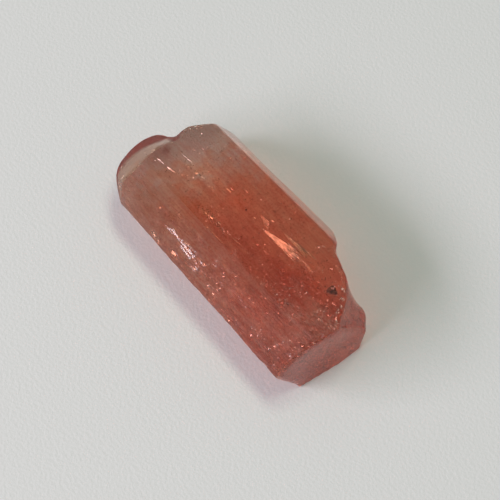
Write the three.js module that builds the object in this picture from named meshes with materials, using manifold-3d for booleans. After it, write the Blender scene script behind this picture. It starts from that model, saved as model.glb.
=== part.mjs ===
// A rough topaz crystal, one solid, lying on a prism face as it would on a table.
// Millimetres, +Z up. The long axis (the crystal's c axis) runs along X: the broken head is at -X
// and the cleaved foot at +X. The cross-section is a leaning lozenge: the floor face and the top
// face are one pair of prism faces, and the two side faces, which lean the same way, are the other.
import * as THREE from "three";
import { mergeVertices } from "three/addons/utils/BufferGeometryUtils.js";
import Module from "manifold-3d";

const wasm = await Module();
wasm.setup();

// Driving dimensions
const LENGTH = 28.0;            // head rim to foot
const WIDTH = 15.2;             // shoulder to the lower edge of the far side
const OFFSET_Y = 0.2;           // the far side reaches this much further out than the near one
const HEIGHT = 7.5;             // floor face to the far ridge
const FAR_LEAN_DEG = 62.5;      // side faces from the floor, near the 62 degrees of a topaz lozenge
const NEAR_LEAN_DEG = 59;
const FAR_TAPER = 0.05;         // growth in width from head to foot, on each side
const NEAR_TAPER = 0.12;
const TAPER_MIDDLE = 0.25;      // share of the length past the middle where WIDTH is measured

// Prism edges
const TOP_FALL = 0.35;          // the top face falls this much from the ridge to the shoulder
const SHOULDER_DROP = 2.3;      // the rounded shoulder takes this much off the near top edge
const SHOULDER_RUN = 2.7;
const HEEL_RISE = 1.7;          // the bevel on the acute lower edge of the far side
const HEEL_RUN = 1.0;
const EDGE_ROUND = 0.28;        // wear on the prism edges
const SHOULDER_ROUND = 1.7;
const RIDGE_ROUND = 0.5;

// Head break: two lobes with a notch between them, and a bevelled facet on the near lobe
const LOBE_Y = -1.2;            // crest of the near lobe
const LOBE_CURVE = 0.09;        // how fast the near lobe falls back to its sides, per mm
const CORNER_Y = -4.2;          // from here out the near corner of the head is rounded off
const CORNER_CURVE = 0.34;
const CORNER_SPAN = 2;          // the facet flattens over this much of it
const NOTCH_Y = 1.2;            // where the near lobe gives way to the far one
const NOTCH_BLEND = 0.45;
const NOTCH_DEPTH = 0.03;
const FAR_LOBE_BACK = 2.2;      // the far lobe ends this far short of the near one
const FAR_LOBE_SLOPE = 0.3;     // and falls back this fast towards the ridge
const FAR_LOBE_BULGE = 0.5;     // and bulges out beside the notch
const FAR_LOBE_SPREAD = 1.3;
const FAR_LOBE_LEAN = 0.35;     // run over rise of its end
const FACET_Z = 4.7;            // the facet starts here
const FACET_SLOPE = 1.2;        // run over rise of the facet
const FACET_FADE = 0.5;         // share of that slope lost towards the rounded corner
const HEAD_UNDERCUT = 0.16;

// Foot: the basal cleavage, square to the long axis
const FOOT_LEAN = -0.015;       // lean of the cleavage, per mm of height
const FOOT_SWEEP = 0.12;        // it falls back this fast towards the near side
const FOOT_SWEEP_Y = -0.5;      // from here out
const FOOT_CORNER_Y = -5.2;     // and from here out its corner is rounded off
const FOOT_CORNER_CURVE = 0.03;
const FOOT_HOLLOW = 0.16;       // dish of the cleavage face
const DISH_ACROSS = 4;
const DISH_UP = 2.5;

// Corner break: the corner between the foot and the far side is gone
const BREAK_X = 5.8;            // where the break turns to run along the side, at BREAK_LEVEL
const BREAK_RAKE = 0.45;        // that turn moves towards the foot this fast with height
const BREAK_Y = 5.8;
const BREAK_SLOPE = 0.37;
const BREAK_TURN = 0.9;         // steep start of the break
const BREAK_LEVEL = 2.5;        // height at which BREAK_X and BREAK_Y are measured
const BREAK_LEAN = 0.17;        // run over rise of its wall
const SPUR_X = 12.4;            // low spur left standing at the foot
const SPUR_REACH = 0.7;
const SPUR_SPREAD = 1.1;
const SPUR_START = 10.2;        // from here on the wall lies back more
const SPUR_LEAN = 0.58;         // added lean over the spur
const SPUR_UNDERCUT = 0.3;      // the spur draws in again under BREAK_LEVEL

const OVERRUN = 4;              // cutting tools reach this far past the crystal
const PRISM_STEPS = 30;
const OUTLINE_STEP = 0.8;       // spacing of outline points along the prism faces
const TOOL_STEP = 0.45;         // spacing of points on a break surface
const WEAR_STEPS = 6;           // segments round a worn edge
const MERGE_MM = 1e-4;

const TOPAZ_COLOUR = 0xa84a32;

const smoothstep = THREE.MathUtils.smoothstep;
const headX = -LENGTH / 2;
const footX = LENGTH / 2;

// A mesh with shared vertices, as a solid that can be cut.
function solidFrom(geometry) {
  const bare = geometry.clone();
  bare.deleteAttribute("normal");
  bare.deleteAttribute("uv");
  const merged = mergeVertices(bare, MERGE_MM);
  return new wasm.Manifold(new wasm.Mesh({
    numProp: 3,
    vertProperties: merged.attributes.position.array,
    triVerts: new Uint32Array(merged.index.array),
  }));
}

function geometryFrom(solid) {
  const mesh = solid.getMesh();
  const geometry = new THREE.BufferGeometry();
  geometry.setAttribute("position", new THREE.BufferAttribute(mesh.vertProperties, 3));
  geometry.setIndex(new THREE.BufferAttribute(mesh.triVerts, 1));
  geometry.computeVertexNormals();
  return geometry;
}

// Corners of the cross-section in (Y, Z), counter-clockwise, each with its edge wear.
function sectionCorners() {
  const farLean = 1 / Math.tan(THREE.MathUtils.degToRad(FAR_LEAN_DEG));
  const nearLean = 1 / Math.tan(THREE.MathUtils.degToRad(NEAR_LEAN_DEG));
  const near = OFFSET_Y - WIDTH / 2;
  const far = OFFSET_Y + WIDTH / 2;
  const shoulderFoot = HEIGHT - TOP_FALL - SHOULDER_DROP;
  return [
    { y: near + shoulderFoot * nearLean, z: 0, wear: EDGE_ROUND },
    { y: far - HEEL_RUN, z: 0, wear: EDGE_ROUND },
    { y: far, z: HEEL_RISE, wear: EDGE_ROUND },
    { y: far - (HEIGHT - HEEL_RISE) * farLean, z: HEIGHT, wear: RIDGE_ROUND },
    { y: near + SHOULDER_RUN, z: HEIGHT - TOP_FALL, wear: SHOULDER_ROUND },
    { y: near, z: shoulderFoot, wear: SHOULDER_ROUND },
  ];
}

// The cross-section as a shape: straight prism faces, split into short runs, with worn edges.
function sectionShape() {
  const corners = sectionCorners().map((c) => ({ at: new THREE.Vector2(c.y, c.z), wear: c.wear }));
  const shape = new THREE.Shape();
  const toward = (from, to, distance) => to.clone().sub(from).setLength(distance).add(from);
  corners.forEach((corner, i) => {
    const before = corners.at(i - 1);
    const after = corners[(i + 1) % corners.length];
    const start = toward(corner.at, before.at, corner.wear);
    const end = toward(corner.at, after.at, corner.wear);
    if (i === 0) shape.moveTo(start.x, start.y);
    shape.quadraticCurveTo(corner.at.x, corner.at.y, end.x, end.y);
    const next = toward(after.at, corner.at, after.wear);
    const runs = Math.max(1, Math.round(end.distanceTo(next) / OUTLINE_STEP));
    for (let k = 1; k <= runs; k++) {
      const p = end.clone().lerp(next, k / runs);
      shape.lineTo(p.x, p.y);
    }
  });
  return shape;
}

// The whole prism, longer than the crystal, narrowing a little towards the head.
function prism() {
  const length = LENGTH + 2 * OVERRUN;
  const geometry = new THREE.ExtrudeGeometry(sectionShape(), {
    depth: length, steps: PRISM_STEPS, curveSegments: WEAR_STEPS, bevelEnabled: false,
  });
  const along = new THREE.Vector3(1, 0, 0);
  const across = new THREE.Vector3(0, 1, 0);
  const up = new THREE.Vector3(0, 0, 1);
  geometry.applyMatrix4(new THREE.Matrix4().makeBasis(across, up, along));
  geometry.translate(-length / 2, 0, 0);
  const place = geometry.attributes.position;
  for (let i = 0; i < place.count; i++) {
    const taper = place.getY(i) > 0 ? FAR_TAPER : NEAR_TAPER;
    place.setY(i, place.getY(i) * (1 + taper * (place.getX(i) / LENGTH - TAPER_MIDDLE)));
  }
  return solidFrom(geometry);
}

// A block that takes away everything beyond a break surface. The surface gives the depth along
// one axis at each point of the other two, and outward is the side that goes.
function breakBlock(axis, spans, surface, outward) {
  const [u, v] = ["x", "y", "z"].filter((a) => a !== axis);
  const size = { [axis]: 2 * OVERRUN, [u]: spans[u][1] - spans[u][0], [v]: spans[v][1] - spans[v][0] };
  const runs = { [axis]: 1, [u]: Math.ceil(size[u] / TOOL_STEP), [v]: Math.ceil(size[v] / TOOL_STEP) };
  const block = new THREE.BoxGeometry(size.x, size.y, size.z, runs.x, runs.y, runs.z);
  const place = block.attributes.position;
  const point = new THREE.Vector3();
  for (let i = 0; i < place.count; i++) {
    point.fromBufferAttribute(place, i);
    const onSurface = point[axis] * outward < 0;
    point[u] += (spans[u][0] + spans[u][1]) / 2;
    point[v] += (spans[v][0] + spans[v][1]) / 2;
    point[axis] = onSurface ? surface(point[u], point[v]) : outward * (LENGTH / 2 + 2 * OVERRUN);
    place.setXYZ(i, point.x, point.y, point.z);
  }
  return solidFrom(block);
}

const acrossSpan = [-WIDTH / 2 - OVERRUN, WIDTH / 2 + OVERRUN];
const heightSpan = [-OVERRUN / 2, HEIGHT + OVERRUN / 2];

// The head: the near lobe bulges and carries a sloping facet, the far lobe stops short of it.
function headSurface(y, z) {
  const far = smoothstep(y, NOTCH_Y - NOTCH_BLEND, NOTCH_Y + NOTCH_BLEND);
  const corner = Math.max(0, CORNER_Y - y);
  const nearLobe = LOBE_CURVE * (y - LOBE_Y) ** 2 + CORNER_CURVE * corner ** 2;
  const past = Math.max(0, y - NOTCH_Y);
  const bulge = FAR_LOBE_BULGE * Math.exp(-((past / FAR_LOBE_SPREAD - 1) ** 2));
  const farLobe = FAR_LOBE_BACK + FAR_LOBE_SLOPE * past - bulge;
  const notch = NOTCH_DEPTH * Math.exp(-(((y - NOTCH_Y) / NOTCH_BLEND) ** 2));
  const above = Math.max(0, z - FACET_Z);
  const below = Math.max(0, FACET_Z - z);
  const slope = FACET_SLOPE * (1 - FACET_FADE * smoothstep(corner, 0, CORNER_SPAN));
  const nearFace = slope * above + HEAD_UNDERCUT * below;
  const farFace = FAR_LOBE_LEAN * (z - FACET_Z);
  return headX + notch + THREE.MathUtils.lerp(nearLobe + nearFace, farLobe + farFace, far);
}

// The foot: a flat cleavage with a shallow dish and a rounded near corner.
function footSurface(y, z) {
  const dish = FOOT_HOLLOW * Math.exp(-((y / DISH_ACROSS) ** 2) - ((z - HEIGHT / 2) / DISH_UP) ** 2);
  const corner = FOOT_CORNER_CURVE * Math.max(0, FOOT_CORNER_Y - y) ** 2;
  const sweep = FOOT_SWEEP * Math.max(0, FOOT_SWEEP_Y - y);
  return footX - FOOT_LEAN * z - sweep - corner - dish;
}

// The missing corner: a steep wall along the side, with a low spur at the foot.
function cornerSurface(x, z) {
  const height = z - BREAK_LEVEL;
  const turn = BREAK_TURN * Math.max(0, BREAK_X + BREAK_RAKE * height - x);
  const spur = SPUR_REACH * Math.exp(-(((x - SPUR_X) / SPUR_SPREAD) ** 2));
  const onSpur = smoothstep(x, SPUR_START, footX);
  const back = (BREAK_LEAN + SPUR_LEAN * onSpur) * Math.max(0, height);
  const under = (SPUR_UNDERCUT * onSpur - BREAK_LEAN * (1 - onSpur)) * Math.min(0, height);
  return BREAK_Y - BREAK_SLOPE * (x - BREAK_X) + turn + spur - back + under;
}

function crystal() {
  const head = breakBlock("x", { y: acrossSpan, z: heightSpan }, headSurface, -1);
  const foot = breakBlock("x", { y: acrossSpan, z: heightSpan }, footSurface, 1);
  const cornerSpan = [0, LENGTH / 2 + OVERRUN];
  const corner = breakBlock("y", { x: cornerSpan, z: heightSpan }, cornerSurface, 1);
  const geometry = geometryFrom(prism().subtract(head).subtract(foot).subtract(corner));
  // The origin is under the middle of the crystal, on the floor.
  geometry.computeBoundingBox();
  const middle = geometry.boundingBox.getCenter(new THREE.Vector3());
  return geometry.translate(-middle.x, -middle.y, -geometry.boundingBox.min.z);
}

const topaz = new THREE.MeshStandardMaterial({ color: TOPAZ_COLOUR, roughness: 0.15, metalness: 0 });
const part = new THREE.Group();
const mesh = new THREE.Mesh(crystal(), topaz);
mesh.name = "topaz_crystal";
part.add(mesh);

export default part;
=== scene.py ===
# A rough topaz crystal on a pale sheet: its worn skin, what is sealed in it, the light and the camera.
import math

import bmesh
import bpy
import numpy as np
from mathutils import Matrix, Vector
from mathutils.bvhtree import BVHTree


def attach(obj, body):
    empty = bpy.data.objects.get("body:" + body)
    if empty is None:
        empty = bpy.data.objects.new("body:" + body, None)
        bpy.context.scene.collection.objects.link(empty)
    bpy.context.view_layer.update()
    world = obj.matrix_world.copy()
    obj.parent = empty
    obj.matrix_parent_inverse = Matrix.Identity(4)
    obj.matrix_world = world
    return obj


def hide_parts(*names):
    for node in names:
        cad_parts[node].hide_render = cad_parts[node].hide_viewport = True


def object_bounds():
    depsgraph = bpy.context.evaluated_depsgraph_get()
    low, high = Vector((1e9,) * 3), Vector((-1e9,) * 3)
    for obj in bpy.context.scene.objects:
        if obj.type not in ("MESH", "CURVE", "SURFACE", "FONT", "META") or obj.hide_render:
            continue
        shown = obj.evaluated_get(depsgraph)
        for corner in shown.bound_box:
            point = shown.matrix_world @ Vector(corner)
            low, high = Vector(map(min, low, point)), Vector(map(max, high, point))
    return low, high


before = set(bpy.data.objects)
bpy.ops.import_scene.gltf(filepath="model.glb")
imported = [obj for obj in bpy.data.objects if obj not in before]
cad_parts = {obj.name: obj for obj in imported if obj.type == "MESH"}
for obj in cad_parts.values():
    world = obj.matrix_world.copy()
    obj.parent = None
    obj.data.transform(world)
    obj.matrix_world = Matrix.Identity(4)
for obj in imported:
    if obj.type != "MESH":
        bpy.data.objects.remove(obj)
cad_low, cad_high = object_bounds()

# Lengths are in millimetres, in the frame of the part, and become metres as a mesh is made.
MM = 0.001
NODE = "topaz_crystal"
BODY = "root"
SEED = 41

# Camera, from the photo's viewing angle
IMAGE_SIDE = 500
VIEW_AZIMUTH = 50
VIEW_ELEVATION = 60
VIEW_DISTANCE = 200.0
PIXELS_PER_MM = 10.9
AIM = (1.19, -0.54, 3.64)
SENSOR = 36.0

# Skin
SKIN_STEP = 0.115
FAIRING_ROUNDS = 5
WEAR_ROUNDS = 40

# Lamps: direction from the crystal, distance, width and height, power in watts, colour
WINDOW = dict(toward=(-0.5, -1.6, 1.0), distance=600, size=(560, 170), power=2.85, colour=(1.0, 0.9, 0.99))
CEILING = dict(toward=(0.05, 0.2, 1.0), distance=600, size=(300, 120), power=0.9, colour=(0.87, 1.0, 0.8))
AMBIENT_COLOUR = (0.98, 1.0, 1.0)
AMBIENT_STRENGTH = 0.235

# Floor
FLOOR_SIDE = 900.0
FLOOR_GAP = 0.02
FLOOR_COLOUR = (0.80, 0.805, 0.80)

# Stone
IOR = 1.62
SPECK_COUNT = 4200
GLITTER_COUNT = 900
FLECK_COUNT = 2600
SPARKLE_COUNT = 260
STREAK_COUNT = 34
TUBE_COUNT = 500
ABSORPTION_COLOUR = (0.96, 0.36, 0.03)
ABSORPTION_PER_M = 32.0

# Tints of the skin, from the head to the foot
HEAD_TINT = (1.0, 1.0, 1.0, 1.0)
MIDDLE_TINT = (1.0, 0.71, 0.55, 1.0)
HEART_TINT = (1.0, 0.56, 0.43, 1.0)
FOOT_TINT = (1.0, 0.6, 0.49, 1.0)

# What the fine texture of the skin takes off its tint
SMOKE_HUE = (1.0, 0.76, 0.7)
WISP_HUE = (0.77, 0.5, 0.46)
LINE_HUE = (0.92, 0.7, 0.66)
PEPPER_HUE = (0.8, 0.6, 0.56)

# Depth of the fine bumps
SKIN_BUMP = 0.12
TOOTH_BUMP = 0.12

# Films in cracks and hollow tubes: name, colour, roughness
BRIGHT_FILM = ("bright film", (1.0, 0.9, 0.8), 0.34)
CRACK_FILM = ("crack film", (1.0, 0.95, 0.72), 0.32)
DULL_FILM = ("dull film", (0.97, 0.86, 0.8), 0.48)
MINERAL_COLOUR = (0.42, 0.29, 0.23)

rng = np.random.default_rng(SEED)


# Arrays

def ramp(value, low, high):
    """0 below low, 1 above high, smooth between; low may be the larger one."""
    t = np.clip((value - low) / (high - low), 0.0, 1.0)
    return t * t * (3 - 2 * t)


def lattice(cell, seed):
    """A fixed random number from -1 to 1 for each whole-number place."""
    x, y, z = cell.T
    h = (x * 73856093) ^ (y * 19349663) ^ (z * 83492791) ^ (seed * 40503)
    h = (h ^ (h >> 13)) * 1274126177
    h = h ^ (h >> 16)
    return (h & 0xFFFF) / 32767.5 - 1.0


def noise(points, cell_size, seed):
    """Smooth noise from -1 to 1. cell_size is one length, or one for each axis."""
    place = points / np.broadcast_to(np.asarray(cell_size, float), (3,))
    cell = np.floor(place).astype(np.int64)
    f = place - cell
    f = f * f * f * (f * (f * 6 - 15) + 10)
    total = np.zeros(len(points))
    for corner in np.ndindex(2, 2, 2):
        share = np.where(np.array(corner) == 1, f, 1 - f).prod(axis=1)
        total += share * lattice(cell + np.array(corner), seed)
    return total


def rough_noise(points, cell_size, seed, octaves=3):
    """Noise with finer noise added, each octave at half the size and half the height."""
    size = np.asarray(cell_size, float)
    return sum(noise(points, size / 2 ** k, seed + k) / 2 ** k for k in range(octaves))


def unit(vectors):
    return vectors / np.linalg.norm(vectors, axis=-1, keepdims=True)


# Sight and light

def eye_direction():
    """Unit vector from the crystal to the camera."""
    azimuth = math.radians(VIEW_AZIMUTH)
    elevation = math.radians(VIEW_ELEVATION)
    level = math.cos(elevation)
    return np.array([math.sin(azimuth) * level, -math.cos(azimuth) * level, math.sin(elevation)])


def bent_line(toward, normals):
    """A direction outside the stone, as it runs inside under a skin with these normals."""
    cosine = normals @ toward
    inside = np.sqrt(1 - (1 - cosine ** 2) / IOR ** 2)
    return toward / IOR + (inside - cosine / IOR)[:, None] * normals


def mirror_facing(normals):
    """The way a flake under the skin has to face to mirror the window to the eye."""
    window = unit(np.array(WINDOW["toward"]))
    return unit(bent_line(eye_direction(), normals) + bent_line(window, normals))


# Meshes

def link(piece):
    bpy.context.scene.collection.objects.link(piece)
    return piece


def mesh_piece(name, points, faces, material, smooth):
    """A linked object made of millimetre points and equal-sided faces."""
    mesh = bpy.data.meshes.new(name)
    mesh.from_pydata((np.asarray(points) * MM).tolist(), [], np.asarray(faces).tolist())
    mesh.polygons.foreach_set("use_smooth", np.full(len(mesh.polygons), smooth))
    mesh.materials.append(material)
    mesh.update()
    return link(bpy.data.objects.new(name, mesh))


def seal(piece):
    """A piece that is sealed in the crystal moves with it."""
    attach(piece, BODY)
    return piece


# Skin of the crystal

def even_skin(node):
    """The solid's surface as an even mesh, in millimetres."""
    solid = node.data.copy()
    solid.transform(Matrix.Scale(1 / MM, 4))
    raw = link(bpy.data.objects.new("raw", solid))
    remesh = raw.modifiers.new("even", "REMESH")
    remesh.mode = "VOXEL"
    remesh.voxel_size = SKIN_STEP
    depsgraph = bpy.context.evaluated_depsgraph_get()
    skin = bpy.data.meshes.new_from_object(raw.evaluated_get(depsgraph))
    bpy.data.objects.remove(raw)
    bpy.data.meshes.remove(solid)
    skin.name = "crystal"
    return skin


def read_points(mesh):
    points = np.empty(len(mesh.vertices) * 3)
    mesh.vertices.foreach_get("co", points)
    return points.reshape(-1, 3)


def write_points(mesh, points):
    mesh.vertices.foreach_set("co", points.ravel())
    mesh.update()


def read_normals(mesh):
    normals = np.empty(len(mesh.vertices) * 3)
    mesh.vertex_normals.foreach_get("vector", normals)
    return normals.reshape(-1, 3)


def edge_average(values, edges, count):
    """For each vertex, the mean of its neighbours' values."""
    total = np.zeros_like(values)
    np.add.at(total, edges[:, 0], values[edges[:, 1]])
    np.add.at(total, edges[:, 1], values[edges[:, 0]])
    return total / count[:, None]


def mesh_edges(mesh):
    """The mesh's edges as vertex pairs, and the number of edges at each vertex."""
    edges = np.empty(len(mesh.edges) * 2, np.int32)
    mesh.edges.foreach_get("vertices", edges)
    count = np.bincount(edges, minlength=len(mesh.vertices)).astype(float)
    return edges.reshape(-1, 2), count


def fair(mesh, edges, count):
    """Takes out the steps of the even mesh and keeps its volume."""
    points = read_points(mesh)
    for _ in range(FAIRING_ROUNDS):
        for share in (0.5, -0.53):
            points += share * (edge_average(points, edges, count) - points)
    write_points(mesh, points)


def soft_normals(mesh, edges, count):
    """Normals averaged over a few steps of the mesh."""
    normals = read_normals(mesh)
    for _ in range(4):
        normals = unit(edge_average(normals, edges, count))
    return normals


def edge_mask(mesh, edges, count):
    """1 along the edges between faces, 0 on the faces."""
    normals = soft_normals(mesh, edges, count)
    bend = np.linalg.norm(edge_average(normals, edges, count) - normals, axis=1)
    return ramp(bend, 0.003, 0.02) * ramp(read_points(mesh)[:, 2], 0.2, 0.8)


def wear_down(mesh, edges, count):
    """Rounds the edges between faces."""
    worn = edge_mask(mesh, edges, count)[:, None]
    for _ in range(3):
        worn = np.maximum(worn, edge_average(worn, edges, count))
    points = read_points(mesh)
    x, y, _ = points.T
    ridge = ramp(y, 3.0, 4.2) * ramp(x, 6.0, 4.0)
    corner = ramp(-y, 4.0, 5.5) * ramp(x, 9.0, 11.0)
    worn *= np.maximum(0.3, np.maximum(ridge, corner))[:, None]
    for _ in range(WEAR_ROUNDS):
        points += 0.5 * worn * (edge_average(points, edges, count) - points)
    write_points(mesh, points)


def face_zones(points, normals):
    """How much each vertex belongs to each face of the crystal, 0 to 1."""
    nx, ny, nz = normals.T
    x = points[:, 0]
    sides = ramp(np.abs(nx), 0.5, 0.25)
    return {
        "top": ramp(nz, 0.85, 0.97),
        "under": ramp(nz, -0.85, -0.97),
        "shoulder": ramp(-ny, 0.08, 0.4) * ramp(nz, -0.35, 0.0) * sides,
        "dull": ramp(-ny, 0.04, 0.18) * ramp(nz, -0.35, 0.0) * sides,
        "near": ramp(-ny, 0.6, 0.8) * ramp(nz, 0.0, -0.3) * sides,
        "far": ramp(ny, 0.5, 0.75) * sides * ramp(x, 7.0, 5.0),
        "head": ramp(-nx, 0.25, 0.55),
        "foot": ramp(nx, 0.75, 0.92),
        "corner": ramp(ny, 0.3, 0.6) * ramp(x, 4.5, 6.5) * ramp(nx, 0.92, 0.7),
    }


def over(zone, **shares):
    """The sum of some faces' zones, each times its share."""
    return sum(share * zone[name] for name, share in shares.items())


def relief(points, zone, edge_wear):
    """Height of the fine shape over the solid, in millimetres."""
    grooves = noise(points, (6.0, 0.6, 0.6), 3) + 0.6 * noise(points, (3.0, 0.3, 0.3), 4)
    swell = noise(points, (5.0, 2.5, 2.5), 5)
    lumps = rough_noise(points, (0.8, 0.45, 0.45), 6)
    height = grooves * over(zone, top=0.006, shoulder=0.035, near=0.03, far=0.02)
    height += swell * over(zone, shoulder=0.03, near=0.03, far=0.03)
    height += lumps * over(zone, shoulder=0.022, top=0.003, near=0.03)
    pits = np.maximum(0, rough_noise(points, (0.9, 0.5, 0.5), 11) - 0.5)
    height -= pits * over(zone, shoulder=0.08, top=0.025, near=0.1)
    ripple = rough_noise(points, (1.8, 1.3, 1.3), 21)
    height += ripple * over(zone, head=0.04, corner=0.03)
    step = np.round(2.2 * noise(points, (4.0, 2.6, 1.8), 31)) / 2.2
    height += 0.025 * zone["foot"] * step
    chips = np.maximum(0, rough_noise(points, 0.8, 41) - 0.1)
    height -= (0.15 + 0.3 * ramp(points[:, 0], -8.0, -9.5)) * edge_wear * chips
    return height * (1 - zone["under"])


def paint(mesh, name, values):
    """Keeps a value at each vertex, for the material to read."""
    mesh.attributes.new(name, "FLOAT", "POINT").data.foreach_set("value", values.astype(np.float32))


def skin_masks(points, zone, edge_wear):
    """What the stone's material reads at each vertex, 0 to 1."""
    x, y, z = points.T
    cloudy = ramp(0.35 * (x - 2.0) - y + 1.6 * rough_noise(points, (2.0, 1.0, 1.0), 15), 2.0, 6.5)
    cloudy *= zone["top"]
    lip = ramp(z - 0.25 * (y + 3), 6.0, 5.4)
    notch = ramp(np.abs(y - 0.9), 1.2, 0.4)
    rim = zone["head"] * np.maximum(lip, notch) * ramp(z, 2.5, 4.0) * ramp(y, 2.8, 1.6)
    worn = over(zone, dull=1.0, near=0.9, under=0.4, far=0.12, head=0.1, foot=0.04, corner=0.2)
    breaks = over(zone, foot=1.0, head=1.0, corner=1.0, under=1.0)
    lined = (0.45 + 0.55 * ramp(x, -9.0, -4.0)) * (1 - 0.4 * ramp(x, 3.0, 6.0) * ramp(y, 0.0, 2.0))
    return {
        "frost": np.clip(worn + 0.3 * cloudy + 0.9 * rim, 0, 1),
        "grit": np.clip(over(zone, shoulder=1.0, near=1.0) + 0.3 * edge_wear + 0.5 * cloudy, 0, 1),
        "rim": rim,
        # Pale beige on the head's break face: partly its own tint, partly a painted reflection
        "facet_tint_and_reflection": zone["head"] * ramp(-y, 0.5, 1.5) * (1 - rim),
        "far": 0.8 * zone["far"],
        "cleaved": np.clip(over(zone, foot=1.0, corner=1.0), 0, 1),
        "striated": (1 - np.clip(breaks, 0, 1)) * lined,
    }


def crystal_skin(material):
    """The piece that stands for the solid, with the fine shape of its faces, breaks and edges."""
    skin = even_skin(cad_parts[NODE])
    edges, count = mesh_edges(skin)
    fair(skin, edges, count)
    wear_down(skin, edges, count)
    points = read_points(skin)
    normals = read_normals(skin)
    zone = face_zones(points, soft_normals(skin, edges, count))
    edge_wear = edge_mask(skin, edges, count)
    height = relief(points, zone, edge_wear)
    points = points + normals * height[:, None]
    points = np.clip(points, np.array(cad_low) / MM, np.array(cad_high) / MM)
    write_points(skin, points * MM)
    for name, values in skin_masks(points, zone, edge_wear).items():
        paint(skin, name, values)
    skin.polygons.foreach_set("use_smooth", np.ones(len(skin.polygons), bool))
    skin.materials.clear()
    skin.materials.append(material)
    return link(bpy.data.objects.new("crystal", skin))


class Stone:
    """Tells what lies inside the crystal."""

    def __init__(self, piece):
        mesh = piece.data
        points = read_points(mesh) / MM
        faces = [tuple(p.vertices) for p in mesh.polygons]
        self.tree = BVHTree.FromPolygons([Vector(p) for p in points], faces)
        self.points = points
        self.low = points.min(axis=0)
        self.high = points.max(axis=0)

    def skin(self, points, spread=0.5):
        """The skin's nearest place and its mean normal over a spread, for each point."""
        places = np.empty_like(points)
        normals = np.empty_like(points)
        for i, p in enumerate(points):
            places[i] = self.tree.find_nearest(Vector(p))[0]
            around = self.tree.find_nearest_range(Vector(places[i]), spread)
            normals[i] = np.mean([found[1] for found in around], axis=0)
        return places, unit(normals)

    def in_sight(self, points, depth):
        """Places a depth under the skin, seen where the skin has these points, and their mirror facing."""
        places, normals = self.skin(points)
        sight = bent_line(eye_direction(), normals)
        drop = depth / (sight * normals).sum(axis=1)
        return places - sight * drop[:, None], mirror_facing(normals)

    def depth(self, points):
        """Distance under the skin of each point, negative outside."""
        found = np.empty(len(points))
        for i, p in enumerate(points):
            place, normal, _, distance = self.tree.find_nearest(Vector(p))
            inside = (place - Vector(p)).dot(normal) > 0
            found[i] = distance if inside else -distance
        return found

    def scatter(self, count, density, margin, reach):
        """Random places inside, at least margin under the skin, thinning out over reach below it."""
        kept = []
        total = 0
        while total < count:
            tries = rng.uniform(self.low, self.high, (count * 4, 3))
            tries = tries[rng.random(len(tries)) < density(tries)]
            depth = self.depth(tries)
            shallow = rng.random(len(tries)) < np.exp(-depth / reach)
            tries = tries[(depth > margin) & shallow]
            kept.append(tries)
            total += len(tries)
        return np.concatenate(kept)[:count]


# Shapes that are sealed in

def turned_axes(count, flatness):
    """Random right-angled axes for each shape. The third one is near upright where flatness is high."""
    w = unit(rng.normal(size=(count, 3)) + np.array([0.0, 0.0, flatness]))
    u = unit(np.cross(w, rng.normal(size=(count, 3))))
    v = np.cross(w, u)
    return u, v, w


def tablets(centres, axes, radius, thickness, sides):
    """Flat closed tablets with an uneven outline, as points and triangles."""
    u, v, w = axes
    count = len(centres)
    angle = np.arange(sides) * 2 * math.pi / sides
    reach = radius[:, None] * rng.uniform(0.6, 1.3, (count, sides))
    ring = centres[:, None] + (reach * np.cos(angle))[..., None] * u[:, None]
    ring = ring + (reach * np.sin(angle))[..., None] * v[:, None]
    peak = (thickness[:, None] * w)[:, None]
    points = np.concatenate([ring, centres[:, None] + peak, centres[:, None] - peak], axis=1)
    here = np.arange(sides)
    after = np.roll(here, -1)
    upper = np.stack([here, after, np.full(sides, sides)], axis=1)
    lower = np.stack([after, here, np.full(sides, sides + 1)], axis=1)
    faces = np.concatenate([upper, lower])[None] + (np.arange(count) * (sides + 2))[:, None, None]
    return points.reshape(-1, 3), faces.reshape(-1, 3)


def joined(shapes):
    """Several point and face arrays as one pair."""
    points = []
    faces = []
    start = 0
    for p, f in shapes:
        points.append(p)
        faces.append(f + start)
        start += len(p)
    return np.concatenate(points), np.concatenate(faces)


def needles(starts, ends, width):
    """Thin closed needles from each start to its end."""
    along = (ends - starts) / 2
    length = np.linalg.norm(along, axis=1)
    w = along / length[:, None]
    u = unit(np.cross(w, np.array([0.1, 0.3, 1.0])))
    v = np.cross(w, u)
    return tablets((starts + ends) / 2, (u, v, w), width, length, 5)


def feather(stone, start, end, depth, width, tilt, count):
    """Narrow blades side by side, seen to fan out from start to end, each with a tilt of its own."""
    (start, end), facing = stone.in_sight(np.array([start, end], float), np.full(2, depth))
    along = unit(end - start)
    across = unit(np.cross(along, facing[1]))
    shapes = []
    for k in range(count):
        side = (2 * k + 1) / count - 1
        reach = np.linalg.norm(end - start) * (1 + 0.12 * rng.normal() - 0.1 * side ** 2)
        first = start + across * side * width * 0.1 + along * 0.25 * abs(side) * rng.random()
        last = start + along * reach + across * side * width
        up = facing[1] + across * (tilt + 0.03 * rng.normal())
        shapes.append(blade(first, last, up, 1.6 * width / count, 0.15, rng.integers(1000)))
    return joined(shapes)


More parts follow.
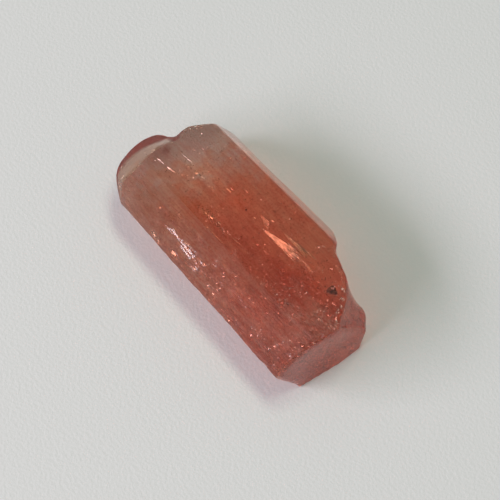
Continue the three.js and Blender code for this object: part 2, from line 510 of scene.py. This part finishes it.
def blade(start, end, facing, width, ragged, seed, runs=40, lanes=7):
    """A thin closed film from start to end, widest past its middle, with a ragged far end."""
    t = np.linspace(0, 1, runs)[:, None]
    s = np.linspace(-1, 1, lanes)[None, :]
    along = unit(end - start)
    across = unit(np.cross(along, facing))
    up = np.cross(across, along)
    span = width * t ** 0.7 * np.sqrt(1 - 0.96 * t ** 5) + 0.01
    lane_seed = np.stack([np.zeros(lanes), s[0] * 4, np.zeros(lanes)], axis=1)
    reach = 1 + ragged * (noise(lane_seed, 1.0, seed)[None, :] - 0.3) * t ** 2
    centre = start + (end - start) * (t * reach)[..., None]
    bow = 0.004 * s ** 2 + 0.012 * np.sin(math.pi * t)
    middle = centre + (span * s)[..., None] * across + bow[..., None] * up
    half = 0.012 * (1 - 0.9 * np.abs(s) ** 3) * np.ones_like(t)
    upper = (middle + half[..., None] * up).reshape(-1, 3)
    lower = (middle - half[..., None] * up).reshape(-1, 3)
    return closed_sheet(upper, lower, runs, lanes)


def closed_sheet(upper, lower, runs, lanes):
    """Two grids of points, joined round their border."""
    index = np.arange(runs * lanes).reshape(runs, lanes)
    quads = np.stack([index[:-1, :-1], index[1:, :-1], index[1:, 1:], index[:-1, 1:]], axis=-1).reshape(-1, 4)
    rim = np.concatenate([index[0, :-1], index[:-1, -1], index[-1, :0:-1], index[:0:-1, 0]])
    after = np.roll(rim, -1)
    shift = runs * lanes
    skirt = np.stack([rim, after, after + shift, rim + shift], axis=1)
    return np.concatenate([upper, lower]), np.concatenate([quads, quads[:, ::-1] + shift, skirt])


# Node trees

def node(tree, kind, **settings):
    made = tree.nodes.new(kind)
    for key, value in settings.items():
        setattr(made, key, value)
    return made


def wire(tree, target, source):
    """Feeds a socket from another socket, or sets it to a plain value."""
    if isinstance(source, bpy.types.NodeSocket):
        tree.links.new(source, target)
    else:
        target.default_value = source


def math_node(tree, operation, *values):
    made = node(tree, "ShaderNodeMath", operation=operation)
    for socket, value in zip(made.inputs, values):
        wire(tree, socket, value)
    return made.outputs[0]


def map_node(tree, value, low, high, to_low=0.0, to_high=1.0):
    made = node(tree, "ShaderNodeMapRange", interpolation_type="SMOOTHSTEP")
    for socket, source in zip(made.inputs[:5], (value, low, high, to_low, to_high)):
        wire(tree, socket, source)
    return made.outputs[0]


def mix_node(tree, share, a, b, blend="MIX"):
    made = node(tree, "ShaderNodeMix", data_type="RGBA", blend_type=blend)
    wire(tree, made.inputs["Factor"], share)
    wire(tree, made.inputs[6], a)
    wire(tree, made.inputs[7], b)
    return made.outputs[2]


def place_node(tree):
    """Position in the part's frame, in millimetres."""
    coordinates = node(tree, "ShaderNodeTexCoord")
    scaled = node(tree, "ShaderNodeVectorMath", operation="SCALE")
    wire(tree, scaled.inputs[0], coordinates.outputs["Object"])
    scaled.inputs["Scale"].default_value = 1 / MM
    return scaled.outputs[0]


def noise_node(tree, place, scale, detail=3.0, stretch=(1, 1, 1), grain=0.5):
    stretched = node(tree, "ShaderNodeVectorMath", operation="MULTIPLY")
    wire(tree, stretched.inputs[0], place)
    stretched.inputs[1].default_value = stretch
    made = node(tree, "ShaderNodeTexNoise")
    wire(tree, made.inputs["Vector"], stretched.outputs[0])
    wire(tree, made.inputs["Scale"], scale)
    made.inputs["Detail"].default_value = detail
    made.inputs["Roughness"].default_value = grain
    return made.outputs["Fac"]


def new_group(name, inputs, outputs):
    """A shader node group with named sockets, and its input and output nodes."""
    tree = bpy.data.node_groups.new(name, "ShaderNodeTree")
    for label, kind in inputs:
        tree.interface.new_socket(label, in_out="INPUT", socket_type=kind)
    for label, kind in outputs:
        tree.interface.new_socket(label, in_out="OUTPUT", socket_type=kind)
    return tree, node(tree, "NodeGroupInput"), node(tree, "NodeGroupOutput")


def use_group(tree, group, **values):
    """Places a group in a material, with its inputs set by name."""
    made = node(tree, "ShaderNodeGroup", node_tree=group)
    for label, value in values.items():
        wire(tree, made.inputs[label.replace("_", " ")], value)
    return made


def growth_zones():
    """Colour along the crystal: pale at the head, deep in the middle, cloudy at the foot."""
    tree, given, result = new_group(
        "Growth zones",
        [("Place", "NodeSocketVector"), ("Head", "NodeSocketColor"), ("Middle", "NodeSocketColor"),
         ("Heart", "NodeSocketColor"), ("Foot", "NodeSocketColor")],
        [("Color", "NodeSocketColor")],
    )
    place = given.outputs["Place"]
    split = node(tree, "ShaderNodeSeparateXYZ")
    wire(tree, split.inputs[0], place)
    sway = math_node(tree, "MULTIPLY_ADD", noise_node(tree, place, 0.8, 6.0), 14.0, -7.0)
    along = math_node(tree, "ADD", split.outputs["X"], sway)
    leaning = math_node(tree, "SUBTRACT", along, math_node(tree, "MULTIPLY", split.outputs["Y"], 0.5))
    fade = map_node(tree, leaning, -9.3, -6.0)
    colour = mix_node(tree, fade, given.outputs["Head"], given.outputs["Middle"])
    far = map_node(tree, split.outputs["Y"], 0.5, 3.5, 0.0, 0.8)
    near = map_node(tree, split.outputs["Y"], -3.3, -5.2)
    near = math_node(tree, "MULTIPLY", near, map_node(tree, along, 5.5, 2.0))
    sides = math_node(tree, "MAXIMUM", far, near)
    heart = mix_node(tree, sides, given.outputs["Heart"], given.outputs["Middle"])
    colour = mix_node(tree, map_node(tree, leaning, -6.5, -2.0), colour, heart)
    colour = mix_node(tree, map_node(tree, along, 8.0, 12.0), colour, given.outputs["Foot"])
    wire(tree, result.inputs["Color"], colour)
    return tree


def mottling():
    """Uneven light and dark, drawn out along the crystal."""
    tree, given, result = new_group(
        "Mottling",
        [("Place", "NodeSocketVector"), ("Scale", "NodeSocketFloat"), ("Low", "NodeSocketFloat"),
         ("High", "NodeSocketFloat")],
        [("Value", "NodeSocketFloat")],
    )
    grain = noise_node(tree, given.outputs["Place"], given.outputs["Scale"], 5.0, (0.35, 1, 1), 0.68)
    spread = map_node(tree, grain, 0.36, 0.64, given.outputs["Low"], given.outputs["High"])
    wire(tree, result.inputs["Value"], spread)
    return tree


def new_material(name):
    material = bpy.data.materials.new(name)
    material.use_nodes = True
    tree = material.node_tree
    shader = tree.nodes["Principled BSDF"]
    return material, tree, shader


def tint(tree, colour, value):
    """A colour made lighter or darker by a value."""
    grey = node(tree, "ShaderNodeCombineColor")
    for socket in grey.inputs:
        wire(tree, socket, value)
    return mix_node(tree, 1.0, colour, grey.outputs[0], "MULTIPLY")


def dimmed(tree, colour, share, hue):
    """A colour that takes on a hue where share is high."""
    return mix_node(tree, share, colour, mix_node(tree, 1.0, colour, (*hue, 1), "MULTIPLY"))


def bump(tree, height, distance, strength):
    made = node(tree, "ShaderNodeBump")
    made.inputs["Distance"].default_value = distance * MM
    made.inputs["Strength"].default_value = strength
    wire(tree, made.inputs["Height"], height)
    return made.outputs[0]


def stain():
    """A soft uneven patch round a place, as a mask."""
    tree, given, result = new_group(
        "Stain",
        [("Place", "NodeSocketVector"), ("Centre", "NodeSocketVector"), ("Radius", "NodeSocketFloat")],
        [("Mask", "NodeSocketFloat")],
    )
    apart = node(tree, "ShaderNodeVectorMath", operation="DISTANCE")
    wire(tree, apart.inputs[0], given.outputs["Place"])
    wire(tree, apart.inputs[1], given.outputs["Centre"])
    share = math_node(tree, "DIVIDE", apart.outputs["Value"], given.outputs["Radius"])
    uneven = noise_node(tree, given.outputs["Place"], 0.9, 4.0)
    share = math_node(tree, "ADD", share, math_node(tree, "MULTIPLY", uneven, 1.2))
    wire(tree, result.inputs["Mask"], map_node(tree, share, 1.9, 0.7))
    return tree


# Stains of the stone: centre, radius, colour
STAINS = [
    ((-8.4, 1.2, 7.4), 1.6, (1.0, 0.94, 1.0)),
    ((-7.4, -5.3, 6.5), 2.4, (0.72, 0.5, 0.36)),
    ((-4.6, -4.6, 6.9), 2.2, (0.94, 0.74, 0.5)),
    ((-3.2, -3.0, 7.2), 2.0, (1.0, 0.94, 0.8)),
    ((-7.6, -1.6, 7.3), 2.0, (0.97, 0.76, 0.7)),
    ((-2.2, 1.1, 7.4), 1.9, (1.0, 0.66, 0.55)),
    ((-5.3, 1.2, 7.4), 2.4, (0.88, 0.7, 0.64)),
    ((1.4, -0.3, 7.3), 2.2, (0.86, 0.82, 0.84)),
    ((8.3, -1.7, 7.3), 3.2, (0.82, 0.42, 0.36)),
    ((3.0, -2.6, 7.3), 2.2, (0.95, 0.84, 0.8)),
    ((-10.9, 0.6, 7.0), 0.7, (0.75, 0.45, 0.45)),
    ((-10.3, -1.0, 7.3), 0.55, (0.6, 0.36, 0.36)),
]


# Faces with a tint of their own; the pale beige on the head's break face is partly its own tint and partly a
# painted reflection of the room
TINTED_FACES = [
    ("rim", (0.55, 0.12, 0.1)),
    # pale beige on the head's break face, partly a painted reflection
    ("facet_tint_and_reflection", (1.0, 0.88, 0.7)),
    ("cleaved", (0.55, 0.1, 0.06)),
    ("far", (0.95, 0.72, 0.52)),
]


def mask_node(tree, name):
    """A value that is kept at the vertices of the skin."""
    return node(tree, "ShaderNodeAttribute", attribute_name=name).outputs["Fac"]


def skin_tint(tree, place, zones, mottle, patch):
    """Growth zones, stains, faces with a tint of their own, a partly painted reflection on the head's break
    face, and the fine texture along the crystal.
    """
    colour = use_group(tree, zones, Place=place, Head=HEAD_TINT, Middle=MIDDLE_TINT, Heart=HEART_TINT,
                       Foot=FOOT_TINT).outputs["Color"]
    for centre, radius, hue in STAINS:
        mask = use_group(tree, patch, Place=place, Centre=centre, Radius=radius).outputs["Mask"]
        colour = dimmed(tree, colour, mask, hue)
    for name, hue in TINTED_FACES:
        colour = mix_node(tree, mask_node(tree, name), colour, (*hue, 1))
    smoke = use_group(tree, mottle, Place=place, Scale=0.6, Low=0.8, High=0.0).outputs["Value"]
    wisps = use_group(tree, mottle, Place=place, Scale=2.0, Low=0.8, High=0.0).outputs["Value"]
    lines = map_node(tree, noise_node(tree, place, 3.5, 3.0, (0.05, 1, 1)), 0.58, 0.38)
    pepper = map_node(tree, noise_node(tree, place, 5.0, 2.0), 0.55, 0.35)
    striated = mask_node(tree, "striated")
    for texture, hue in ((smoke, SMOKE_HUE), (wisps, WISP_HUE), (lines, LINE_HUE), (pepper, PEPPER_HUE)):
        colour = dimmed(tree, colour, math_node(tree, "MULTIPLY", texture, striated), hue)
    return colour


def skin_roughness(tree, place, mottle):
    """Polish on the clear faces, and uneven frost where the stone is worn."""
    frost = use_group(tree, mottle, Place=place, Scale=2.2, Low=0.55, High=0.9).outputs["Value"]
    polish = use_group(tree, mottle, Place=place, Scale=3.5, Low=0.05, High=0.12).outputs["Value"]
    return math_node(tree, "MULTIPLY_ADD", mask_node(tree, "frost"), frost, polish)


def skin_height(tree, place):
    """Striations along the crystal, and grains where it is worn, round a mean height of 0."""
    grit = mask_node(tree, "grit")
    lines = math_node(tree, "SUBTRACT", noise_node(tree, place, 6.0, 3.0, (0.04, 1, 1)), 0.5)
    lines = math_node(tree, "MULTIPLY", lines, mask_node(tree, "striated"))
    lines = math_node(tree, "MULTIPLY", lines, math_node(tree, "MULTIPLY_ADD", grit, 0.5, 0.15))
    grains = math_node(tree, "SUBTRACT", noise_node(tree, place, 5.0, 2.0, (0.5, 1, 1)), 0.5)
    grains = math_node(tree, "MULTIPLY", math_node(tree, "MULTIPLY", grains, grit), 2.0)
    return math_node(tree, "ADD", lines, grains)


def topaz(zones, mottle, patch):
    """Clear stone: plain transmission and absorption, tinted by growth zones, frosted where it is worn."""
    material, tree, shader = new_material("topaz")
    place = place_node(tree)
    wire(tree, shader.inputs["Base Color"], skin_tint(tree, place, zones, mottle, patch))
    wire(tree, shader.inputs["Roughness"], skin_roughness(tree, place, mottle))
    wire(tree, shader.inputs["Normal"], bump(tree, skin_height(tree, place), SKIN_BUMP, 1.0))
    shader.inputs["Transmission Weight"].default_value = 1.0
    shader.inputs["IOR"].default_value = IOR
    absorb = node(tree, "ShaderNodeVolumeAbsorption")
    absorb.inputs["Color"].default_value = (*ABSORPTION_COLOUR, 1)
    absorb.inputs["Density"].default_value = ABSORPTION_PER_M
    tree.links.new(absorb.outputs[0], tree.nodes["Material Output"].inputs["Volume"])
    return material


def milk(zones, mottle):
    """Pale specks of fluid and healed cracks."""
    material, tree, shader = new_material("milk")
    place = place_node(tree)
    zoned = use_group(tree, zones, Place=place, Head=(0.92, 0.88, 0.8, 1), Middle=(0.95, 0.86, 0.7, 1),
                      Heart=(0.95, 0.82, 0.7, 1), Foot=(0.95, 0.8, 0.7, 1)).outputs["Color"]
    shade = use_group(tree, mottle, Place=place, Scale=5.0, Low=0.75, High=1.0).outputs["Value"]
    wire(tree, shader.inputs["Base Color"], tint(tree, zoned, shade))
    shader.inputs["Metallic"].default_value = 0.35
    shader.inputs["Roughness"].default_value = 0.4
    return material


def film(mottle, name, colour, roughness):
    """The mirror of air in an inner crack or a hollow tube."""
    material, tree, shader = new_material(name)
    place = place_node(tree)
    shade = use_group(tree, mottle, Place=place, Scale=4.0, Low=0.5, High=1.0).outputs["Value"]
    wire(tree, shader.inputs["Base Color"], tint(tree, (*colour, 1), shade))
    shader.inputs["Metallic"].default_value = 1.0
    shader.inputs["Roughness"].default_value = roughness
    return material


def dark_mineral(mottle):
    """Dark grains of another mineral."""
    material, tree, shader = new_material("dark mineral")
    place = place_node(tree)
    shade = use_group(tree, mottle, Place=place, Scale=6.0, Low=0.4, High=1.0).outputs["Value"]
    wire(tree, shader.inputs["Base Color"], tint(tree, (*MINERAL_COLOUR, 1), shade))
    shader.inputs["Roughness"].default_value = 0.55
    return material


def paper():
    """A pale sheet with a fine tooth."""
    material, tree, shader = new_material("pale sheet")
    place = place_node(tree)
    tooth = noise_node(tree, place, 3.2, 3.0)
    shader.inputs["Base Color"].default_value = (*FLOOR_COLOUR, 1)
    shader.inputs["Roughness"].default_value = 0.9
    shader.inputs["Specular IOR Level"].default_value = 0.1
    wire(tree, shader.inputs["Normal"], bump(tree, tooth, TOOTH_BUMP, 0.36))
    return material


# What is sealed in the crystal

def outside_clear_patch(points):
    """Little lies in the clear red patch before the foot."""
    x, y, _ = points.T
    return 1 - 0.9 * np.exp(-((x - 8.2) / 2.0) ** 2 - ((y + 1.2) / 1.8) ** 2)


def cloud_density(points):
    """Milky specks gather at the foot and under the near shoulder."""
    x, y, _ = points.T
    foot = ramp(x, 2.0, 10.0) * ramp(y, 3.0, 0.5)
    shoulder = ramp(-y, 2.0, 5.5) * ramp(x, -7.0, 2.0)
    trail = np.exp(-((y + 2.6 + 0.25 * x) / 0.8) ** 2) * ramp(x, -4.0, -1.0)
    clump = np.clip(0.1 + 1.4 * rough_noise(points, (1.3, 0.9, 0.8), 51, 3), 0, 1)
    share = np.clip(0.03 + foot + 0.6 * shoulder + 0.25 * trail, 0, 1)
    return share * clump * outside_clear_patch(points)


def specks(stone, material):
    centres = stone.scatter(SPECK_COUNT, cloud_density, 0.09, 0.9)
    radius = rng.uniform(0.022, 0.075, len(centres))
    shape = tablets(centres, turned_axes(len(centres), 0.8), radius, radius * 0.4, 4)
    return mesh_piece("milky_specks", *shape, material, False)


def glitter_density(points):
    """Flakes gather in clumps, most of them at the foot and along the shoulder."""
    x, y, _ = points.T
    foot = ramp(x, 3.0, 10.0)
    shoulder = ramp(-y, 3.0, 5.5)
    clump = np.clip(0.25 + 1.2 * rough_noise(points, (1.6, 0.8, 0.8), 55, 3), 0, 1)
    share = np.clip(0.25 + 0.6 * foot + 0.5 * shoulder, 0, 1)
    return share * clump * outside_clear_patch(points)


def glitter(stone, material):
    """Small mirrors of hollow flakes, most of them near the angle that sends the window to the eye."""
    centres = stone.scatter(GLITTER_COUNT, glitter_density, 0.12, 1.0)
    radius = rng.uniform(0.025, 0.085, len(centres))
    facing = mirror_facing(stone.skin(centres)[1])
    w = unit(facing + rng.normal(size=facing.shape) * 0.14)
    u = unit(np.cross(w, rng.normal(size=facing.shape)))
    axes = (u, np.cross(w, u), w)
    return mesh_piece("glitter_flakes", *tablets(centres, axes, radius, radius * 0.08, 6), material, False)


def sparkle_density(points):
    """Sparkles lie along the shoulder and over the foot."""
    x, y, _ = points.T
    shoulder = ramp(-y, 4.0, 5.5) * ramp(x, -9.0, -4.0)
    foot = ramp(x, 6.0, 12.0) * ramp(y, 2.0, 0.0)
    clump = np.clip(0.3 + rough_noise(points, 1.5, 57, 3), 0, 1)
    return np.clip(0.08 + shoulder + 0.6 * foot, 0, 1) * clump


def sparkles(stone, crystal, material):
    """Bright little faces right under the skin, which is clear over each of them."""
    skin_points = stone.points[stone.points[:, 2] > 4.5]
    chosen = skin_points[rng.permutation(len(skin_points))[:SPARKLE_COUNT * 40]]
    chosen = chosen[rng.random(len(chosen)) < sparkle_density(chosen)][:SPARKLE_COUNT]
    centres, facing = stone.in_sight(chosen, np.full(len(chosen), 0.07))
    w = unit(facing + rng.normal(size=facing.shape) * 0.05)
    u = unit(np.cross(w, rng.normal(size=facing.shape)))
    radius = 0.015 + 0.08 * rng.random(len(chosen)) ** 2
    clear_over(crystal, stone.points, chosen, radius)
    shape = tablets(centres, (u, np.cross(w, u), w), radius, radius * 0.08, 6)
    return mesh_piece("sparkles", *shape, material, False)


def clear_over(crystal, skin_points, centres, reach):
    """Takes the frost and the grit off the skin round each centre."""
    clear = np.zeros(len(skin_points))
    for centre, r in zip(centres, reach):
        near = np.linalg.norm(skin_points - centre, axis=1)
        clear = np.maximum(clear, ramp(near, 1.6 * r, r))
    for name in ("frost", "grit"):
        values = crystal.data.attributes[name].data
        old = np.empty(len(skin_points), np.float32)
        values.foreach_get("value", old)
        values.foreach_set("value", (old * (1 - clear)).astype(np.float32))


def flecks(stone, material):
    """Thin feathers drawn out along the crystal, dull mirrors that face many ways."""
    centres = stone.scatter(FLECK_COUNT, cloud_density, 0.2, 0.9)
    count = len(centres)
    facing = mirror_facing(stone.skin(centres)[1])
    w = unit(facing + rng.normal(size=facing.shape) * 0.12)
    lean = np.array([1.0, 0.0, 0.0]) + rng.normal(size=(count, 3)) * 0.35
    v = unit(np.cross(w, lean))
    u = np.cross(v, w) * rng.uniform(2.0, 6.0, (count, 1))
    half_width = rng.uniform(0.02, 0.05, count)
    shape = tablets(centres, (u, v, w), half_width, half_width * 0.1, 6)
    return mesh_piece("feather_flecks", *shape, material, False)


VEILS = [
    dict(at=(9.5, -4.0, 5.6), facing=(0.35, -0.3, 0.9), reach=(2.6, 1.6), count=420),
    dict(at=(11.2, -1.4, 5.8), facing=(-0.2, 0.25, 0.95), reach=(1.7, 1.3), count=300),
    dict(at=(6.3, -5.0, 5.3), facing=(0.1, -0.55, 0.8), reach=(2.6, 0.9), count=280),
    dict(at=(11.8, -4.8, 4.4), facing=(0.55, 0.1, 0.8), reach=(1.4, 1.5), count=220),
    dict(at=(-2.2, -2.2, 6.4), facing=(0.1, 0.35, 0.93), reach=(1.5, 0.45), count=70),
]


def veil(stone, at, facing, reach, count):
    """Tiny tablets strewn over a wavy sheet, as in a healed crack."""
    w = unit(np.array(facing, float))
    u = unit(np.array([1.0, 0.0, 0.0]) - w * w[0])
    v = np.cross(w, u)
    r = np.sqrt(rng.random(count * 3))
    a = rng.uniform(0, 2 * math.pi, count * 3)
    flat = np.stack([r * np.cos(a) * reach[0], r * np.sin(a) * reach[1], np.zeros(count * 3)], axis=1)
    flat = flat[noise(flat + np.array(at), 0.5, 61) > -0.1][:count]
    sag = 0.18 * noise(flat + np.array(at), 1.2, 62)
    centres = np.array(at) + flat[:, :1] * u + flat[:, 1:2] * v + sag[:, None] * w
    centres = centres[stone.depth(centres) > 0.08]
    radius = rng.uniform(0.03, 0.085, len(centres))
    spin = rng.uniform(0, 2 * math.pi, len(centres))[:, None]
    first = np.cos(spin) * u + np.sin(spin) * v
    second = np.cos(spin) * v - np.sin(spin) * u
    axes = (first, second, np.tile(w, (len(centres), 1)))
    return tablets(centres, axes, radius, radius * 0.2, 6)


def veils(stone, material):
    shapes = [veil(stone, **values) for values in VEILS]
    return mesh_piece("healed_veils", *joined(shapes), material, False)


# Bright slivers: where they start and end on the skin, half width, depth
SLIVERS = [
    ((-10.21, -2.15, 7.25), (-9.28, -2.06, 7.25), 0.08, 0.12),
    ((-8.85, -2.06, 7.25), (-8.02, -1.91, 7.26), 0.07, 0.12),
    ((-9.31, -0.14, 7.33), (-7.67, -0.05, 7.33), 0.05, 0.15),
    ((-3.68, -5.58, 6.41), (-2.64, -5.73, 6.32), 0.035, 0.08),
    ((-2.3, -5.65, 6.38), (0.59, -6.16, 6.04), 0.055, 0.08),
    ((-1.71, -5.55, 6.46), (-0.03, -5.53, 6.5), 0.022, 0.08),
    ((-2.05, -5.98, 6.13), (-0.59, -6.13, 6.04), 0.04, 0.1),
    ((-0.69, -6.53, 5.64), (0.24, -6.47, 5.73), 0.03, 0.08),
    ((-5.25, -6.72, 5.12), (-4.9, -6.7, 5.15), 0.13, 0.07),
    ((-2.5, -6.7, 5.3), (-1.95, -6.68, 5.34), 0.16, 0.07),
    ((0.3, -6.42, 5.79), (0.6, -6.42, 5.79), 0.1, 0.07),
    ((0.75, -5.68, 6.41), (1.0, -5.68, 6.41), 0.08, 0.08),
    ((1.6, -5.17, 6.72), (1.8, -5.17, 6.72), 0.06, 0.08),
    ((0.0, -4.43, 7.01), (0.15, -4.43, 7.01), 0.06, 0.08),
    ((13.0, -4.5, 7.0), (13.2, -4.5, 7.0), 0.1, 0.1),
    ((12.9, -0.6, 7.2), (13.15, -0.55, 7.2), 0.1, 0.1),
    ((13.0, -0.1, 7.15), (13.2, -0.05, 7.15), 0.13, 0.1),
    ((11.6, 0.2, 7.3), (12.1, 0.25, 7.3), 0.07, 0.15),
    ((12.2, -0.9, 7.3), (12.6, -0.85, 7.3), 0.07, 0.15),
    ((5.35, 0.55, 7.37), (6.3, 0.72, 7.37), 0.06, 0.3),
    ((5.75, 0.95, 7.37), (6.5, 1.05, 7.37), 0.05, 0.3),
    ((4.1, -2.95, 7.23), (4.3, -2.95, 7.23), 0.06, 0.2),
]

# Dimmer, redder ones that lie deeper
DEEP_SLIVERS = [
    ((-1.85, -3.31, 7.2), (1.47, -3.26, 7.21), 0.022, 0.5),
    ((1.47, -3.26, 7.21), (5.5, -4.76, 6.93), 0.018, 0.5),
    ((0.7, -2.26, 7.25), (2.0, -2.18, 7.25), 0.05, 0.4),
    ((-6.75, -0.45, 7.32), (-6.45, -0.45, 7.32), 0.12, 0.9),
    ((-6.0, -0.3, 7.33), (-5.6, -0.2, 7.33), 0.06, 0.9),
    ((-4.6, -0.3, 7.32), (-4.1, -0.25, 7.32), 0.06, 0.9),
    ((-3.6, 0.6, 7.36), (-3.0, 0.65, 7.36), 0.05, 0.9),
    ((-2.9, -2.45, 7.24), (-2.6, -2.45, 7.24), 0.06, 0.3),
    ((-2.3, -2.37, 7.24), (-1.9, -2.35, 7.24), 0.09, 0.3),
    ((-1.3, -2.22, 7.25), (-1.0, -2.2, 7.25), 0.06, 0.3),
    ((1.7, 1.6, 7.4), (2.0, 1.62, 7.4), 0.08, 0.8),
    ((5.3, 0.85, 7.37), (6.3, 0.9, 7.37), 0.06, 0.5),
    ((5.7, 0.7, 7.37), (6.2, 0.72, 7.37), 0.08, 0.5),
]


def streak_bundle():
    """Fine slivers side by side where the shoulder is bright."""
    marks = []
    for _ in range(STREAK_COUNT):
        x = rng.normal(-1.0, 1.3)
        y = -5.85 - 0.1 * (x + 1.5) + rng.normal(0, 0.28)
        half = rng.uniform(0.2, 0.9)
        slope = rng.normal(-0.1, 0.03) * half
        width = rng.uniform(0.01, 0.028)
        marks.append(((x - half, y - slope, 6.3), (x + half, y + slope, 6.3), width, 0.07))
    return marks


def slivers(stone, crystal, name, marks, material):
    """Flat hollow tubes that mirror the window to the eye, under a strip of clear skin."""
    widths = np.array([m[2] for m in marks])
    depths = np.array([m[3] for m in marks])
    from_skin = np.array([m[0] for m in marks])
    to_skin = np.array([m[1] for m in marks])
    starts, facing = stone.in_sight(from_skin, depths)
    ends, _ = stone.in_sight(to_skin, depths)
    for share in np.linspace(0, 1, 9):
        clear_over(crystal, stone.points, from_skin + share * (to_skin - from_skin), widths + 0.055)
    along = (ends - starts) / 2
    v = unit(np.cross(facing, along)) * widths[:, None]
    ones = np.ones(len(marks))
    shape = tablets((starts + ends) / 2, (along, v, facing), ones, ones * 0.008, 10)
    return mesh_piece(name, *shape, material, False)


def tube_density(points):
    """Tubes thin out towards the foot."""
    return ramp(points[:, 0], 9.0, 0.0)


def growth_tubes(stone, material):
    """Fine tubes along the crystal."""
    middles = stone.scatter(TUBE_COUNT, tube_density, 0.12, 1.0)
    half = np.zeros_like(middles)
    half[:, 0] = rng.uniform(0.1, 0.8, len(middles))
    half[:, 1] = rng.normal(0, 0.015, len(middles))
    safe = (stone.depth(middles - half) > 0.05) & (stone.depth(middles + half) > 0.05)
    middles = middles[safe]
    half = half[safe]
    shape = needles(middles - half, middles + half, rng.uniform(0.006, 0.016, len(middles)))
    return mesh_piece("growth_tubes", *shape, material, False)


# Feathers of the open crack: where they start and end on the skin, depth, width, tilt, number of blades
FLAME_FEATHERS = [
    ((1.77, 0.38, 7.35), (6.3, 0.85, 7.37), 1.5, 0.56, 0.0, 11),
    ((3.5, 1.61, 7.4), (6.8, 1.72, 7.4), 2.4, 0.3, 0.2, 6),
    ((6.7, 0.98, 7.37), (8.1, 0.92, 7.37), 2.4, 0.14, 0.15, 3),
    ((0.6, 1.18, 7.38), (2.1, 0.99, 7.37), 2.2, 0.28, 0.1, 5),
]


def flame_crack(stone, material):
    """The bright feather of an open crack in the middle of the stone."""
    blades = [feather(stone, *values) for values in FLAME_FEATHERS]
    return mesh_piece("flame_crack", *joined(blades), material, True)


def lump(centre, radius, seed, stretch):
    """An uneven closed grain."""
    sphere = bpy.data.meshes.new("grain")
    shape = bmesh.new()
    bmesh.ops.create_icosphere(shape, subdivisions=3, radius=1.0)
    shape.to_mesh(sphere)
    shape.free()
    points = read_points(sphere)
    faces = np.array([tuple(p.vertices) for p in sphere.polygons])
    bpy.data.meshes.remove(sphere)
    points = points * (1 + 0.45 * rough_noise(points + seed, 0.9, seed))[:, None]
    return np.array(centre) + points * radius * np.array(stretch), faces


# Dark grains: centre, radius, seed of the shape, stretch
DARK_LUMPS = [
    ((10.5, 1.28, 6.2), 0.4, 81, (1.1, 0.9, 0.6)),
    ((-0.85, 0.7, 6.4), 0.09, 82, (1, 1, 1)),
    ((-1.4, 1.9, 6.2), 0.07, 83, (1, 1, 1)),
    ((5.8, -4.1, 6.2), 0.12, 84, (1.4, 0.8, 1)),
    ((9.0, -2.7, 6.3), 0.09, 85, (1, 1, 1)),
    ((12.9, 2.4, 3.2), 0.09, 86, (1, 1, 1)),
]
PLATE_CLUSTER = (10.55, 1.25, 6.4)
PLATE_COUNT = 24


def dark_grains(material):
    """A cluster of dark plates near the foot, and single specks."""
    spots = np.array(PLATE_CLUSTER) + rng.normal(size=(PLATE_COUNT, 3)) * np.array([0.36, 0.32, 0.1])
    radius = rng.uniform(0.04, 0.09, PLATE_COUNT)
    cluster = tablets(spots, turned_axes(PLATE_COUNT, 0.8), radius, radius * 0.3, 6)
    grains = [lump(*values) for values in DARK_LUMPS]
    return mesh_piece("dark_grains", *joined([cluster, *grains]), material, True)


# Stage

def floor():
    side = FLOOR_SIDE / 2
    turns = [(-1, -1), (1, -1), (1, 1), (-1, 1)]
    corners = [(across * side, along * side, -FLOOR_GAP) for across, along in turns]
    made = mesh_piece("floor", corners, [(0, 1, 2, 3)], paper(), False)


def lamp(name, toward, distance, size, power, colour):
    data = bpy.data.lights.new(name, "AREA")
    data.shape = "RECTANGLE"
    data.size = size[0] * MM
    data.size_y = size[1] * MM
    data.energy = power
    data.color = colour
    made = link(bpy.data.objects.new(name, data))
    direction = Vector(toward).normalized()
    made.location = direction * distance * MM
    made.rotation_mode = "QUATERNION"
    made.rotation_quaternion = (-direction).to_track_quat("-Z", "Y")


def room_light():
    world = bpy.data.worlds.new("room")
    world.use_nodes = True
    background = world.node_tree.nodes["Background"]
    background.inputs["Color"].default_value = (*AMBIENT_COLOUR, 1)
    background.inputs["Strength"].default_value = AMBIENT_STRENGTH
    bpy.context.scene.world = world


def camera():
    data = bpy.data.cameras.new("camera")
    data.sensor_width = SENSOR
    data.lens = SENSOR * VIEW_DISTANCE * PIXELS_PER_MM / IMAGE_SIDE
    data.clip_start = 0.005
    made = link(bpy.data.objects.new("camera", data))
    back = Vector(eye_direction())
    made.location = (Vector(AIM) + back * VIEW_DISTANCE) * MM
    made.rotation_mode = "QUATERNION"
    made.rotation_quaternion = (-back).to_track_quat("-Z", "Y")
    bpy.context.scene.camera = made


def light_paths():
    """Enough bounces for light to find its way through the stone, and plain colours."""
    scene = bpy.context.scene
    scene.view_settings.view_transform = "Standard"
    cycles = scene.cycles
    cycles.max_bounces = 24
    cycles.transmission_bounces = 24
    cycles.glossy_bounces = 8
    cycles.transparent_max_bounces = 24
    cycles.caustics_refractive = True
    cycles.caustics_reflective = True
    cycles.use_denoising = True


def build():
    zones = growth_zones()
    mottle = mottling()
    crystal = crystal_skin(topaz(zones, mottle, stain()))
    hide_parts(NODE)
    seal(crystal)
    stone = Stone(crystal)
    pale = milk(zones, mottle)
    bright = film(mottle, *BRIGHT_FILM)
    mirror = film(mottle, *CRACK_FILM)
    dull = film(mottle, *DULL_FILM)
    seal(specks(stone, pale))
    seal(veils(stone, pale))
    seal(growth_tubes(stone, pale))
    seal(glitter(stone, bright))
    seal(sparkles(stone, crystal, bright))
    seal(flecks(stone, dull))
    seal(slivers(stone, crystal, "bright_slivers", SLIVERS + streak_bundle(), bright))
    seal(slivers(stone, crystal, "deep_slivers", DEEP_SLIVERS, mirror))
    seal(flame_crack(stone, mirror))
    seal(dark_grains(dark_mineral(mottle)))


build()
floor()
lamp("window", **WINDOW)
lamp("ceiling", **CEILING)
room_light()
camera()
light_paths()
